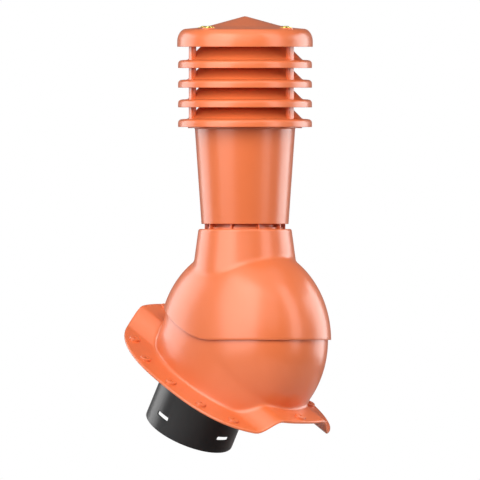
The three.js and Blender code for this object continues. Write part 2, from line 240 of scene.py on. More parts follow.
def even_turns(tree, count, first_angle):
    """Nodes that share a full turn among the copies, from a first angle, as a rotation."""
    index = add_node(tree, "GeometryNodeInputIndex")
    share = add_node(tree, "ShaderNodeMath", {0: index.outputs[0], 1: count}, operation="DIVIDE")
    full = add_node(tree, "ShaderNodeMath", {0: share.outputs[0], 1: 2 * math.pi},
                    operation="MULTIPLY")
    angle = add_node(tree, "ShaderNodeMath", {0: full.outputs[0], 1: first_angle}, operation="ADD")
    return add_node(tree, "ShaderNodeCombineXYZ", {"Z": angle.outputs[0]}).outputs["Vector"]


def end_tree(tree, instances, finish, group_out):
    """Ends a tree: the copies become real faces and take their finish."""
    solid = add_node(tree, "GeometryNodeRealizeInstances", {"Geometry": instances})
    painted = add_node(tree, "GeometryNodeSetMaterial", {
        "Geometry": solid.outputs["Geometry"], "Material": finish})
    tree.links.new(painted.outputs["Geometry"], group_out.inputs["Geometry"])
    print("tree:", tree.name, "with", len(tree.nodes), "nodes")


# %% [markdown]
# ## Terracotta plastic
#
# The flashing, hood, neck, louvres and cap are moulded in plastic that is coloured right through.
# Its skin is satin, with a fine texture from the mould and a colour that drifts a little where the
# melt cooled slower. A plain colour would look like paint, so two close tones are mixed by soft noise,
# the roughness follows another noise, and a very fine bump breaks up the highlights.

# %% The terracotta plastic


def moulded_plastic(name, tone, deeper_tone, roughness, grain_height, sheen_coat):
    """A satin moulded plastic from two close tones, uneven gloss and a fine mould texture."""
    material = bpy.data.materials.new(name)
    material.use_nodes = True
    tree = material.node_tree
    shader = tree.nodes["Principled BSDF"]
    place = add_node(tree, "ShaderNodeTexCoord").outputs["Object"]
    drift = add_node(tree, "ShaderNodeTexNoise", {
        "Vector": place, "Scale": 11.0, "Detail": 3.0, "Roughness": 0.55})
    shade = add_node(tree, "ShaderNodeMix", {"Factor": drift.outputs["Fac"]}, data_type="RGBA")
    deeper_input, tone_input = [socket for socket in shade.inputs if socket.type == "RGBA"]
    deeper_input.default_value = (*deeper_tone, 1)
    tone_input.default_value = (*tone, 1)
    mixed = next(socket for socket in shade.outputs if socket.type == "RGBA")
    tree.links.new(mixed, shader.inputs["Base Color"])
    patches = add_node(tree, "ShaderNodeTexNoise", {
        "Vector": place, "Scale": 38.0, "Detail": 4.0, "Roughness": 0.6})
    gloss = add_node(tree, "ShaderNodeMapRange", {
        "Value": patches.outputs["Fac"], "From Min": 0.3, "From Max": 0.7,
        "To Min": roughness - 0.035, "To Max": roughness + 0.035})
    tree.links.new(gloss.outputs["Result"], shader.inputs["Roughness"])
    grain = add_node(tree, "ShaderNodeTexNoise", {
        "Vector": place, "Scale": 1500.0, "Detail": 2.0, "Roughness": 0.5})
    bump = add_node(tree, "ShaderNodeBump", {
        "Height": grain.outputs["Fac"], "Strength": 0.25, "Distance": grain_height * MM})
    tree.links.new(bump.outputs["Normal"], shader.inputs["Normal"])
    shader.inputs["Coat Weight"].default_value = sheen_coat
    shader.inputs["Coat Roughness"].default_value = 0.22
    shader.inputs["Specular IOR Level"].default_value = 0.5
    return material


terracotta = moulded_plastic(
    "terracotta_plastic", tone=(0.80, 0.186, 0.058), deeper_tone=(0.765, 0.163, 0.047),
    roughness=0.34, grain_height=0.05, sheen_coat=0.5)
print("finish:", terracotta.name)

# %% [markdown]
# ## Black plastic and yellow zinc
#
# The spigot is a length of black duct pipe, drawn through a die, with a finer texture than the mouldings.
# The four cap screws are steel, zinc plated and passivated, which leaves a yellow film whose thickness
# varies, so its colour wanders between straw, gold and a faint green. Noise picks between those tones.

# %% The black plastic and the yellow zinc
black_plastic = moulded_plastic(
    "black_plastic", tone=(0.021, 0.021, 0.022), deeper_tone=(0.014, 0.014, 0.015),
    roughness=0.36, grain_height=0.04, sheen_coat=0.1)


def plated_zinc(name):
    """Yellow passivated zinc: a metal whose film wanders in colour and gloss."""
    material = bpy.data.materials.new(name)
    material.use_nodes = True
    tree = material.node_tree
    shader = tree.nodes["Principled BSDF"]
    place = add_node(tree, "ShaderNodeTexCoord").outputs["Object"]
    film = add_node(tree, "ShaderNodeTexNoise", {"Vector": place, "Scale": 260.0, "Detail": 3.0})
    tones = add_node(tree, "ShaderNodeValToRGB", {"Fac": film.outputs["Fac"]})
    ramp = tones.color_ramp
    ramp.elements[0].position, ramp.elements[0].color = 0.32, (0.62, 0.55, 0.10, 1)
    ramp.elements[1].position, ramp.elements[1].color = 0.68, (0.90, 0.78, 0.36, 1)
    middle = ramp.elements.new(0.5)
    middle.color = (0.80, 0.62, 0.14, 1)
    tree.links.new(tones.outputs["Color"], shader.inputs["Base Color"])
    gloss = add_node(tree, "ShaderNodeMapRange", {
        "Value": film.outputs["Fac"], "From Min": 0.3, "From Max": 0.7,
        "To Min": 0.18, "To Max": 0.32})
    tree.links.new(gloss.outputs["Result"], shader.inputs["Roughness"])
    bump = add_node(tree, "ShaderNodeBump", {
        "Height": film.outputs["Fac"], "Strength": 0.2, "Distance": 0.05 * MM})
    tree.links.new(bump.outputs["Normal"], shader.inputs["Normal"])
    shader.inputs["Metallic"].default_value = 1.0
    return material


yellow_zinc = plated_zinc("yellow_zinc")
print("finishes:", black_plastic.name, yellow_zinc.name)

# %% [markdown]
# ## The ball's section in any direction
#
# The ball is a full, slightly squared oval turned about the level tilt axis, so seen from above it is
# longer along the slope than across it. A superellipse gives that fullness. The same formula gives
# a point of its surface in any direction and at any angle above level. Everything is worked out for all
# directions at once, as arrays, and a search for an edge starts between the axis and a point far outside.

# %% Points of the ball
ROUNDNESS = 2.25
AROUND = 288
DIRECTIONS = np.linspace(0, 2 * math.pi, AROUND, endpoint=False)
FAR = 400.0


def ball_point(angle, lift, radius, across):
    """The ball's surface at an angle above level in every direction, as (distance, height)."""
    level, up = np.cos(lift), np.sin(lift)
    to_side = np.abs(level * np.cos(angle)) / across
    to_rim = np.hypot(level * np.sin(angle), up) / radius
    length = (to_side ** ROUNDNESS + to_rim ** ROUNDNESS) ** (-1 / ROUNDNESS)
    return length * level, length * up


def ball_reach(angle, height, radius, across):
    """How far the ball reaches in every direction at one height from its middle."""
    def past(distance):
        to_side = np.abs(distance * np.cos(angle)) / across
        to_rim = np.hypot(distance * np.sin(angle), height) / radius
        return to_side ** ROUNDNESS + to_rim ** ROUNDNESS - 1

    return halve(past, np.zeros(AROUND), np.full(AROUND, FAR))


def between(a, b, count, skip_first=True):
    """Evenly spaced values from a to b for every direction, the first left out by default."""
    share = np.linspace(0, 1, count + 1)[None, :]
    line = np.asarray(a)[:, None] * (1 - share) + np.asarray(b)[:, None] * share
    return line[:, 1:] if skip_first else line


def corner_curve(start, corner, end, steps=5):
    """A short curve through every direction's corner, without its first point."""
    curve = []
    for step in range(1, steps + 1):
        t = step / steps
        curve.append(tuple(
            (1 - t) ** 2 * start[k] + 2 * t * (1 - t) * corner[k] + t * t * end[k]
            for k in (0, 1)))
    return curve


print("ball worked out in", AROUND, "directions")

# %% [markdown]
# ## The base with its flashing
#
# On the real chimney the wave-shaped plate, the lower half of the ball and the socket inside are one
# moulding. It could be modelled as three solids joined by booleans, but the smooth fillet where the ball
# rises from the plate is hard to get that way. Here one closed section runs, for each direction round
# the ball, over the plate, up the fillet and the ball, back down inside, over the socket ring that
# holds the spigot, and out again along the underside. The section changes with the direction.
# Below the ball's widest outline the wall goes straight down, so that the mould can open.

# %% The plate's wave and outline
BASE_RADIUS, BASE_ACROSS, BASE_WALL = 152.1, 105.1, 3.5
PLATE_HALF_LENGTH, PLATE_HALF_WIDTH, PLATE_SHIFT = 193.1, 145.8, 5.7
PLATE_THICKNESS = 5.0
UPSLOPE_ROUNDNESS, DOWNSLOPE_ROUNDNESS = 2.35, 2.65
CREST_HALF_TOP, CREST_HALF_FOOT, CREST_HEIGHT = 46, 84, 29
BAND_DROOP = 7.7
MOUTH_HEIGHT = 20
UPSLOPE_LIP_SLOPE, DOWNSLOPE_LIP_SLOPE = math.tan(math.radians(45.7)), math.tan(math.radians(16))


def wave(across):
    """Height of the plate's underside: drooping bands, smooth flanks and a flat crest."""
    inward = CREST_HALF_FOOT - np.abs(across)
    climb = np.clip(inward / (CREST_HALF_FOOT - CREST_HALF_TOP), 0, 1)
    droop = BAND_DROOP * np.minimum(inward, 0) / (PLATE_HALF_WIDTH - CREST_HALF_FOOT)
    return CREST_HEIGHT * climb * climb * (3 - 2 * climb) + droop


def plate_roundness(along):
    """How square the plate's outline is, which is more so downslope of its middle."""
    return np.where(along > 0, UPSLOPE_ROUNDNESS, DOWNSLOPE_ROUNDNESS)


def past_plate_edge(distance, angle):
    """Rises past zero where a direction leaves the plate's outline."""
    x = distance * np.cos(angle)
    y = distance * np.sin(angle) - PLATE_SHIFT
    roundness = plate_roundness(y)
    return (np.abs(x / PLATE_HALF_WIDTH) ** roundness
            + np.abs(y / PLATE_HALF_LENGTH) ** roundness - 1)


def mouth_margin(angle, lift, radius, across):
    """How far a point of the ball lies above the mouth, whose lips rise both ways from the middle."""
    rho, z = ball_point(angle, lift, radius, across)
    y = rho * np.sin(angle)
    c, s = math.cos(ROOF_PITCH), math.sin(ROOF_PITCH)
    along, up = y * c - z * s, y * s + z * c
    lip = np.where(along > 0, along * UPSLOPE_LIP_SLOPE, -along * DOWNSLOPE_LIP_SLOPE)
    return up - MOUTH_HEIGHT - lip


edge_reach = halve(lambda d: past_plate_edge(d, DIRECTIONS), np.full(AROUND, 60.0),
                   np.full(AROUND, FAR))
print("plate edge from the ball's middle, mm:", round(edge_reach.min(), 1), round(edge_reach.max(), 1))

# %% The base as one closed skin
WALL_INSET = 6
SOCKET_RADIUS, SOCKET_BORE, SOCKET_TOP = 79.8, 75.3, 42.0


def straight_reach(angle, radius, across):
    """How far the straight wall below the ball reaches in every direction."""
    return ((np.abs(np.cos(angle)) / across) ** ROUNDNESS
            + (np.abs(np.sin(angle)) / (radius - WALL_INSET)) ** ROUNDNESS) ** (-1 / ROUNDNESS)


def wall_point(angle, height, radius, across):
    """A point of the base's wall at a height above the roof: the ball, or straight down from it."""
    ball = ball_reach(angle, height - PIVOT_HEIGHT, radius, across)
    return np.maximum(straight_reach(angle, radius, across), ball), height


def base_section(angle, fillet=6.0):
    """The closed section of the base in every direction, as lists of (distance, height)."""
    cosine = np.cos(angle)
    inner_radius, inner_across = BASE_RADIUS - BASE_WALL, BASE_ACROSS - BASE_WALL
    level, widest = np.zeros(AROUND), np.full(AROUND, PIVOT_HEIGHT)
    edge_round = PLATE_THICKNESS / 2
    edge_start = edge_reach - edge_round
    section = []

    # The edge is a full round
    for turn_angle in np.linspace(-math.pi / 2, math.pi / 2, 9):
        rho = edge_start + edge_round * math.cos(turn_angle)
        section.append((rho, wave(rho * cosine) + edge_round + edge_round * math.sin(turn_angle)))

    # Over the plate to the wall's root
    root = straight_reach(angle, BASE_RADIUS, BASE_ACROSS)
    root_height = wave(root * cosine) + PLATE_THICKNESS
    for rho in between(edge_start, root + fillet, 14).T:
        section.append((rho, wave(rho * cosine) + PLATE_THICKNESS))
    foot = wall_point(angle, root_height + fillet, BASE_RADIUS, BASE_ACROSS)
    section += corner_curve(section[-1], (root, root_height), foot)

    # Up the wall and the ball to the mouth, and down inside
    for height in between(foot[1], widest, 12).T:
        section.append(wall_point(angle, height, BASE_RADIUS, BASE_ACROSS))
    mouth_out = halve(lambda lift: mouth_margin(angle, lift, BASE_RADIUS, BASE_ACROSS),
                      level - 0.6, level + math.pi / 2)
    for lift in between(level, mouth_out, 24).T:
        rho, height = ball_point(angle, lift, BASE_RADIUS, BASE_ACROSS)
        section.append((rho, height + PIVOT_HEIGHT))
    mouth_in = halve(lambda lift: mouth_margin(angle, lift, inner_radius, inner_across),
                     level - 0.6, level + math.pi / 2)
    for lift in between(mouth_in, level, 20, skip_first=False).T:
        rho, height = ball_point(angle, lift, inner_radius, inner_across)
        section.append((rho, height + PIVOT_HEIGHT))
    floor = straight_reach(angle, inner_radius, inner_across)
    for height in between(widest, wave(floor * cosine) + PLATE_THICKNESS, 10).T:
        section.append(wall_point(angle, height, inner_radius, inner_across))

    # The socket ring stands round the spigot's axis, upslope of the ball's middle
    def to_circle(radius):
        side = SPIGOT_SETBACK * cosine
        return SPIGOT_SETBACK * np.sin(angle) + np.sqrt(radius ** 2 - side ** 2)

    ring_out, bore = to_circle(SOCKET_RADIUS), to_circle(SOCKET_BORE)
    for rho in between(floor, ring_out, 6).T:
        section.append((rho, wave(rho * cosine) + PLATE_THICKNESS))
    for rho, height in ((ring_out, SOCKET_TOP - 0.8), (ring_out - 0.8, SOCKET_TOP),
                        (bore + 0.6, SOCKET_TOP), (bore, SOCKET_TOP - 0.6)):
        section.append((rho, np.full(AROUND, height)))
    section.append((bore, wave(bore * cosine)))

    # Out along the underside
    for rho in between(bore, edge_start, 26).T[:-1]:
        section.append((rho, wave(rho * cosine)))
    return section


def carried_round(section, angle):
    """Turns every direction's section into points about the upright axis."""
    rho = np.stack([np.broadcast_to(point[0], angle.shape) for point in section], 1)
    height = np.stack([np.broadcast_to(point[1], angle.shape) for point in section], 1)
    return np.stack([rho * np.cos(angle)[:, None], rho * np.sin(angle)[:, None], height], -1)


base_points = carried_round(base_section(DIRECTIONS), DIRECTIONS)
base_points[..., 1] -= SPIGOT_SETBACK
base_shell = skin("base_shell", lay_on_roof(base_points), terracotta, crease=BALL_CREASE)

# %% [markdown]
# ## Screw pads on the flashing
#
# The roofer drives a screw through each of the small raised discs round the plate's edge.
# Each has a pilot hole. The discs are one shape set at twelve places, which a node tree does,
# and the holes are drilled through the plate with a Boolean modifier, because a real hole shows
# the dark crescent of its wall, where a painted dot would not.

# %% The places of the pads
PAD_STATIONS = (-136, -78, -5, 70, 129)
PAD_INSET = 15
PAD_RADIUS, PAD_HEIGHT, PAD_ROOT = 9.0, 3.5, 2.2
PILOT_RADIUS = 2.2


def half_plate(along, inset):
    """Half the plate's width at a distance upslope of its middle, less an inset."""
    roundness = float(plate_roundness(along))
    share = abs(along) / (PLATE_HALF_LENGTH - inset)
    return (PLATE_HALF_WIDTH - inset) * (1 - share ** roundness) ** (1 / roundness)


plate_middle = PLATE_SHIFT - SPIGOT_SETBACK
pad_places = [(side * half_plate(station, PAD_INSET), plate_middle + station)
              for station in PAD_STATIONS for side in (-1, 1)]
pad_places += [(0, plate_middle + end * (PLATE_HALF_LENGTH - PAD_INSET)) for end in (1, -1)]
pad_places = [(x, y, float(wave(x)) + PLATE_THICKNESS) for x, y in pad_places]
print("pads:", len(pad_places))

# %% A tree that sets one shape on every point
set_out, group_in, group_out = new_tree("Set out on points", [
    ("Shape", "NodeSocketObject", None),
    ("Tilt", "NodeSocketVector", (0.0, 0.0, 0.0)),
    ("Finish", "NodeSocketMaterial", None),
])
shape_info = add_node(set_out, "GeometryNodeObjectInfo", {"Object": group_in.outputs["Shape"]})
spots = add_node(set_out, "GeometryNodeMeshToPoints", {"Mesh": group_in.outputs["Geometry"]})
copies = add_node(set_out, "GeometryNodeInstanceOnPoints", {
    "Points": spots.outputs["Points"], "Instance": shape_info.outputs["Geometry"],
    "Rotation": group_in.outputs["Tilt"]})
end_tree(set_out, copies.outputs["Instances"], group_in.outputs["Finish"], group_out)

# %% Pads, drills and the drilled plate


def pattern_shape(name, section, sides, closed_section=True):
    """A small turned shape in millimetres about its own axis, for a tree to copy."""
    return skin(name, turn(section, sides) * MM, terracotta, closed_section)


pad_pattern = pattern_shape("pad_pattern", eased([
    (PILOT_RADIUS, -PAD_ROOT, 0), (PILOT_RADIUS, PAD_HEIGHT, 0.4), (PAD_RADIUS, PAD_HEIGHT, 0.9),
    (PAD_RADIUS, -PAD_ROOT, 0)], steps=4), 40)
drill_tip, drill_top = -PLATE_THICKNESS - 4, PAD_HEIGHT + 1.5
drill_pattern = pattern_shape("drill_pattern", [
    (0, drill_tip), (PILOT_RADIUS, drill_tip), (PILOT_RADIUS, drill_top), (0, drill_top)],
    24, closed_section=False)


def point_mesh(name, points):
    """A mesh of loose points, in metres on the model's upright axes."""
    mesh = bpy.data.meshes.new(name)
    mesh.from_pydata([tuple(point) for point in points], [], [])
    return mesh


on_plate = lay_on_roof(pad_places)
flashing_pads = apply_tree("flashing_pads", point_mesh("pad_points", on_plate), set_out, {
    "Shape": pad_pattern, "Tilt": (ROOF_PITCH, 0.0, 0.0)}, terracotta)
drills = apply_tree("drills", point_mesh("drill_points", on_plate), set_out, {
    "Shape": drill_pattern, "Tilt": (ROOF_PITCH, 0.0, 0.0)}, terracotta)


def cut_away(piece, cutter, crease=CREASE):
    """Cuts one mesh out of another and keeps the result as the piece's own mesh."""
    modifier = piece.modifiers.new("cut", "BOOLEAN")
    modifier.operation, modifier.solver, modifier.object = "DIFFERENCE", "EXACT", cutter
    graph = bpy.context.evaluated_depsgraph_get()
    result = bpy.data.meshes.new_from_object(piece.evaluated_get(graph))
    material, name = piece.data.materials[0], piece.name
    bpy.data.objects.remove(piece)
    bpy.data.objects.remove(cutter)
    result.name = name
    return finish_mesh(name, result, material, crease)


base_shell = cut_away(base_shell, drills, BALL_CREASE)

# %% [markdown]
# ## The spigot
#
# A thin black pipe hangs by its lip in the socket and passes through the roof. The duct slides over it
# and is tied through four slots near its end. A turned section gives the pipe, and four rounded blocks,
# set round its axis by a node tree, cut the slots.

# %% A tree that repeats a shape round an axis
ring_of, group_in, group_out = new_tree("Repeat round an axis", [
    ("Count", "NodeSocketInt", 4),
    ("First angle", "NodeSocketFloat", 0.0),
    ("Centre", "NodeSocketVector", (0.0, 0.0, 0.0)),
    ("Tilt", "NodeSocketFloat", 0.0),
    ("Finish", "NodeSocketMaterial", None),
])
seats = add_node(ring_of, "GeometryNodeMeshLine", {
    "Count": group_in.outputs["Count"], "Offset": (0.0, 0.0, 0.0)})
copies = add_node(ring_of, "GeometryNodeInstanceOnPoints", {
    "Points": seats.outputs["Mesh"], "Instance": group_in.outputs["Geometry"],
    "Rotation": even_turns(ring_of, group_in.outputs["Count"], group_in.outputs["First angle"])})
lean = add_node(ring_of, "ShaderNodeCombineXYZ", {"X": group_in.outputs["Tilt"]})
moved = add_node(ring_of, "GeometryNodeTransform", {
    "Geometry": copies.outputs["Instances"], "Translation": group_in.outputs["Centre"],
    "Rotation": lean.outputs["Vector"]})
end_tree(ring_of, moved.outputs["Geometry"], group_in.outputs["Finish"], group_out)

# %% The pipe and its slots
PIPE_RADIUS, PIPE_WALL, PIPE_END = 75.0, 3.0, -112.2
LIP_RADIUS, LIP_BOTTOM, LIP_TOP = 79.0, 42.3, 45.3
SLOT_HEIGHT = PIPE_END + 26.7
SLOT_HALF_WIDTH, SLOT_HALF_HEIGHT = 13, 3.5


def rounded_block(name, low, high, rounding):
    """A block with rounded edges, in millimetres, as a mesh for a tree to copy."""
    shape = bmesh.new()
    bmesh.ops.create_cube(shape, size=1)
    middle, size = (Vector(low) + Vector(high)) / 2, Vector(high) - Vector(low)
    for corner in shape.verts:
        corner.co = Vector(c * s for c, s in zip(corner.co, size)) + middle
    bmesh.ops.bevel(shape, geom=shape.edges[:], offset=rounding, segments=3, profile=0.5,
                    affect="EDGES")
    bmesh.ops.scale(shape, vec=(MM, MM, MM), verts=shape.verts)
    mesh = bpy.data.meshes.new(name)
    shape.to_mesh(mesh)
    shape.free()
    return mesh


pipe_section = eased([
    (PIPE_RADIUS, PIPE_END, 0.9), (PIPE_RADIUS, LIP_BOTTOM, 0), (LIP_RADIUS, LIP_BOTTOM, 0.6),
    (LIP_RADIUS, LIP_TOP, 0.9), (PIPE_RADIUS - PIPE_WALL, LIP_TOP, 0.9),
    (PIPE_RADIUS - PIPE_WALL, PIPE_END, 0.9)], steps=4)
spigot = skin("spigot", lay_on_roof(turn(pipe_section, 144)), black_plastic)
slot_block = rounded_block(
    "slot_block", (PIPE_RADIUS - 9, -SLOT_HALF_WIDTH, SLOT_HEIGHT - SLOT_HALF_HEIGHT),
    (PIPE_RADIUS + 6, SLOT_HALF_WIDTH, SLOT_HEIGHT + SLOT_HALF_HEIGHT), 1.6)
slot_cutters = apply_tree("slot_cutters", slot_block, ring_of, {
    "Count": 4, "First angle": 0.0, "Tilt": ROOF_PITCH}, black_plastic)
spigot = cut_away(spigot, slot_cutters)

# %% [markdown]
# ## The hood
#
# The upper half of the ball, the collar and the sleeve are one moulding that slides over the base.
# Its lower edge is level on the downslope side and rises upslope, in a gentle bend, so that it clears
# the flashing when it tilts. As with the base, a section that changes with the direction makes it,
# and the fillet between ball and collar is part of that section.

# %% The hood's lower edge
HOOD_RADIUS, HOOD_ACROSS, HOOD_WALL = 157.0, 110.0, 4.0
EDGE_RISE, EDGE_CORNER, EDGE_BEND = math.radians(24.7), 2, 33
t = np.linspace(0, 1, 25)
bend_along = ((1 - t) ** 2 * (EDGE_CORNER - EDGE_BEND) + 2 * t * (1 - t) * EDGE_CORNER
              + t ** 2 * (EDGE_CORNER + EDGE_BEND * math.cos(EDGE_RISE)))
bend_up = t ** 2 * EDGE_BEND * math.sin(EDGE_RISE)
edge_along = np.concatenate([[-FAR], bend_along, [FAR]])
edge_up = np.concatenate([[0], bend_up, [(FAR - EDGE_CORNER) * math.tan(EDGE_RISE)]])


def above_seam(angle, lift, radius, across):
    """How far a point of the ball lies above the hood's lower edge."""
    rho, height = ball_point(angle, lift, radius, across)
    return height - np.interp(rho * np.sin(angle), edge_along, edge_up)


print("lower edge, highest in mm:", round(float(np.interp(140, edge_along, edge_up)), 1))

# %% The hood as one closed skin
COLLAR_FOOT, COLLAR_TOP, COLLAR_WALL = 102.5, 176, 3.5
COLLAR_FOOT_RADIUS, COLLAR_TOP_RADIUS = 86.6, 76.6
SHELF_TOP, SHELF_EASE = 181, 3.2
SLEEVE_RADIUS, SLEEVE_BORE, SLEEVE_TOP = 58, 55, 215
EDGE_ROUND, EDGE_ROUND_IN = 1.1, 0.7


def collar(height, inward=0):
    """Radius of the collar's cone at a height above the pivot, or of a wall inside it."""
    return np.interp(height, [COLLAR_FOOT, COLLAR_TOP - inward],
                     [COLLAR_FOOT_RADIUS - inward, COLLAR_TOP_RADIUS - inward])


def hood_section(angle, fillet=7.0):
    """The closed section of the hood in every direction, as lists of (distance, height)."""
    inner_radius, inner_across = HOOD_RADIUS - HOOD_WALL, HOOD_ACROSS - HOOD_WALL
    every = np.zeros(AROUND)

    def outside(lift):
        return ball_point(angle, lift, HOOD_RADIUS, HOOD_ACROSS)

    def inside(lift):
        return ball_point(angle, lift, inner_radius, inner_across)

    def past_collar(point, inward=0):
        return collar(point[1], inward) - point[0]

    edge = halve(lambda lift: above_seam(angle, lift, HOOD_RADIUS, HOOD_ACROSS),
                 every - 0.5, every + 1.2)
    edge_in = halve(lambda lift: above_seam(angle, lift, inner_radius, inner_across),
                    every - 0.5, every + 1.2)
    neck = halve(lambda lift: past_collar(outside(lift)), every + 0.3, every + 1.5)
    neck_in = halve(lambda lift: past_collar(inside(lift), COLLAR_WALL), every + 0.3, every + 1.5)

    # The rounded lower edge, and up the ball to the fillet
    rho, height = outside(edge)
    rho_in, height_in = inside(edge_in)
    section = [(rho_in + EDGE_ROUND_IN, height_in), (rho - EDGE_ROUND, height),
               (rho - 0.35, height + 0.3)]
    before = neck - fillet / HOOD_RADIUS
    for lift in between(edge + EDGE_ROUND / HOOD_RADIUS, before, 34, skip_first=False).T:
        section.append(outside(lift))

    # The fillet, the collar and its rounded top
    corner = outside(neck)
    up = corner[1] + fillet
    section += corner_curve(section[-1], corner, (collar(up), up), 6)
    for height in between(up, every + COLLAR_TOP, 5).T:
        section.append((collar(height), height))
    shelf_radius = COLLAR_TOP_RADIUS - SHELF_EASE
    for turn_angle in np.linspace(0, math.pi / 2, 7)[1:]:
        section.append((shelf_radius + SHELF_EASE * math.cos(turn_angle),
                        COLLAR_TOP + (SHELF_TOP - COLLAR_TOP) * math.sin(turn_angle)))

    # Over the shelf, up and down the sleeve, and back inside to the lower edge
    inner_top = COLLAR_TOP - COLLAR_WALL
    section += eased([
        (shelf_radius, SHELF_TOP, 0), (61.6, SHELF_TOP, 0.5), (61.6, SHELF_TOP + 3, 0.5),
        (SLEEVE_RADIUS, SHELF_TOP + 3, 0.4), (SLEEVE_RADIUS, SLEEVE_TOP, 1.0),
        (SLEEVE_BORE, SLEEVE_TOP, 1.0), (SLEEVE_BORE, inner_top + 5, 1.5),
        (COLLAR_TOP_RADIUS - COLLAR_WALL, inner_top, 0)], closed=False, steps=3)[1:]
    for height in between(every + inner_top, inside(neck_in)[1], 5).T:
        section.append((collar(height, COLLAR_WALL), height))
    for lift in between(neck_in, edge_in + EDGE_ROUND_IN / inner_radius, 26).T:
        section.append(inside(lift))
    return section


hood_points = stand_plumb(carried_round(hood_section(DIRECTIONS), DIRECTIONS))
hood_shell = skin("hood_shell", hood_points, terracotta, crease=BALL_CREASE)

# %% [markdown]
# ## Ribs on the sleeve
#
# Thin upright ribs round the sleeve centre the neck pipe on it, and they show in the gap between
# the pipe and the collar. They repeat at equal angles, so one rib and the ring tree make them all.

# %% The ribs
rib = rounded_block("rib", (SLEEVE_RADIUS - 1.5, -1.2, SHELF_TOP - 0.3),
                    (66.7, 1.2, SLEEVE_TOP - 0.3), 0.35)
sleeve_ribs = apply_tree("sleeve_ribs", rib, ring_of, {
    "Count": 9, "First angle": math.radians(5), "Centre": tuple(PIVOT)}, terracotta)

# %% [markdown]
# ## The neck pipe
#
# The neck is a pipe that widens upwards, with a thin rim that closes the lowest louvre from below
# and a ledge inside that rests on the sleeve. A turned section is the plain way to make it.

# %% The neck
NECK_BOTTOM, NECK_TOP, NECK_WALL = 189.2, 347.2, 3.3
NECK_BOTTOM_RADIUS, NECK_TOP_RADIUS = 71, 82
RIM_RADIUS, RIM_UNDERSIDE = 93.0, 345.4
LEDGE_UNDERSIDE, LEDGE_TOP, LEDGE_BORE = 215.3, 218.3, 55.0


def neck_wall(height):
    """Radius of the neck's outside at a height above the pivot."""
    return float(np.interp(height, [NECK_BOTTOM, NECK_TOP], [NECK_BOTTOM_RADIUS, NECK_TOP_RADIUS]))


neck_top_bore = NECK_TOP_RADIUS - NECK_WALL
neck_section = eased([
    (NECK_BOTTOM_RADIUS, NECK_BOTTOM, 1.0), (neck_wall(RIM_UNDERSIDE), RIM_UNDERSIDE, 2.0),
    (RIM_RADIUS, RIM_UNDERSIDE, 0.5), (RIM_RADIUS, NECK_TOP, 0.5), (NECK_TOP_RADIUS, NECK_TOP, 0.6),
    (NECK_TOP_RADIUS, NECK_TOP + 20.4, 0.6), (neck_top_bore, NECK_TOP + 23.7, 0.6),
    (neck_top_bore, NECK_TOP, 0), (neck_wall(LEDGE_TOP) - NECK_WALL, LEDGE_TOP, 0.6),
    (LEDGE_BORE, LEDGE_TOP, 0.6), (LEDGE_BORE, LEDGE_UNDERSIDE, 0.6),
    (neck_wall(LEDGE_UNDERSIDE) - NECK_WALL, LEDGE_UNDERSIDE, 0),
    (NECK_BOTTOM_RADIUS - NECK_WALL, NECK_BOTTOM, 0.8)], steps=4)
neck = skin("neck", stand_plumb(turn(neck_section, 160)), terracotta)

# %% [markdown]
# ## The louvre rings
#
# Four equal rings keep rain out and let air pass. Each has a skirt, a rounded rim and a cone that
# carries run-off outwards, and stands on three posts of the ring below. One ring and one post
# repeated by a tree follow that rule, and the number of rings, their pitch and the posts' places
# stay as named inputs. The ring's section is drawn as a line and swept round a circle in the tree.

# %% A tree for a stack of louvres
louvres, group_in, group_out = new_tree("Stack of louvres", [
    ("Rings", "NodeSocketInt", 4),
    ("Pitch", "NodeSocketFloat", 0.032),
    ("Rim radius", "NodeSocketFloat", 0.1),
    ("Posts", "NodeSocketInt", 3),
    ("First post", "NodeSocketFloat", 0.0),
    ("Post radius", "NodeSocketFloat", 0.09),
    ("Post depth", "NodeSocketFloat", 0.009),
    ("Post width", "NodeSocketFloat", 0.0125),
    ("Post foot", "NodeSocketFloat", 0.01),
    ("Post height", "NodeSocketFloat", 0.03),
    ("Centre", "NodeSocketVector", (0.0, 0.0, 0.0)),
    ("Finish", "NodeSocketMaterial", None),
])
section_line = add_node(louvres, "GeometryNodeMeshToCurve", {"Mesh": group_in.outputs["Geometry"]})
circle = add_node(louvres, "GeometryNodeCurvePrimitiveCircle", {
    "Resolution": 160, "Radius": group_in.outputs["Rim radius"]})
upright = add_node(louvres, "GeometryNodeSetCurveNormal", {"Curve": circle.outputs["Curve"]},
                   mode="Z_UP")
ring = add_node(louvres, "GeometryNodeCurveToMesh", {
    "Curve": upright.outputs["Curve"], "Profile Curve": section_line.outputs["Curve"]})
outline = add_node(louvres, "GeometryNodeCurvePrimitiveQuadrilateral", {
    "Width": group_in.outputs["Post depth"], "Height": group_in.outputs["Post width"]})
soft_outline = add_node(louvres, "GeometryNodeFilletCurve", {
    "Curve": outline.outputs["Curve"], "Radius": 0.0015, "Count": 5}, mode="POLY")
top_of_post = add_node(louvres, "ShaderNodeCombineXYZ", {"Z": group_in.outputs["Post height"]})
spine = add_node(louvres, "GeometryNodeCurvePrimitiveLine", {"End": top_of_post.outputs["Vector"]})
post = add_node(louvres, "GeometryNodeCurveToMesh", {
    "Curve": spine.outputs["Curve"], "Profile Curve": soft_outline.outputs["Curve"],
    "Fill Caps": True})
post_seat = add_node(louvres, "ShaderNodeCombineXYZ", {
    "X": group_in.outputs["Post radius"], "Z": group_in.outputs["Post foot"]})
post_out = add_node(louvres, "GeometryNodeTransform", {
    "Geometry": post.outputs["Mesh"], "Translation": post_seat.outputs["Vector"]})
post_seats = add_node(louvres, "GeometryNodeMeshLine", {
    "Count": group_in.outputs["Posts"], "Offset": (0.0, 0.0, 0.0)})
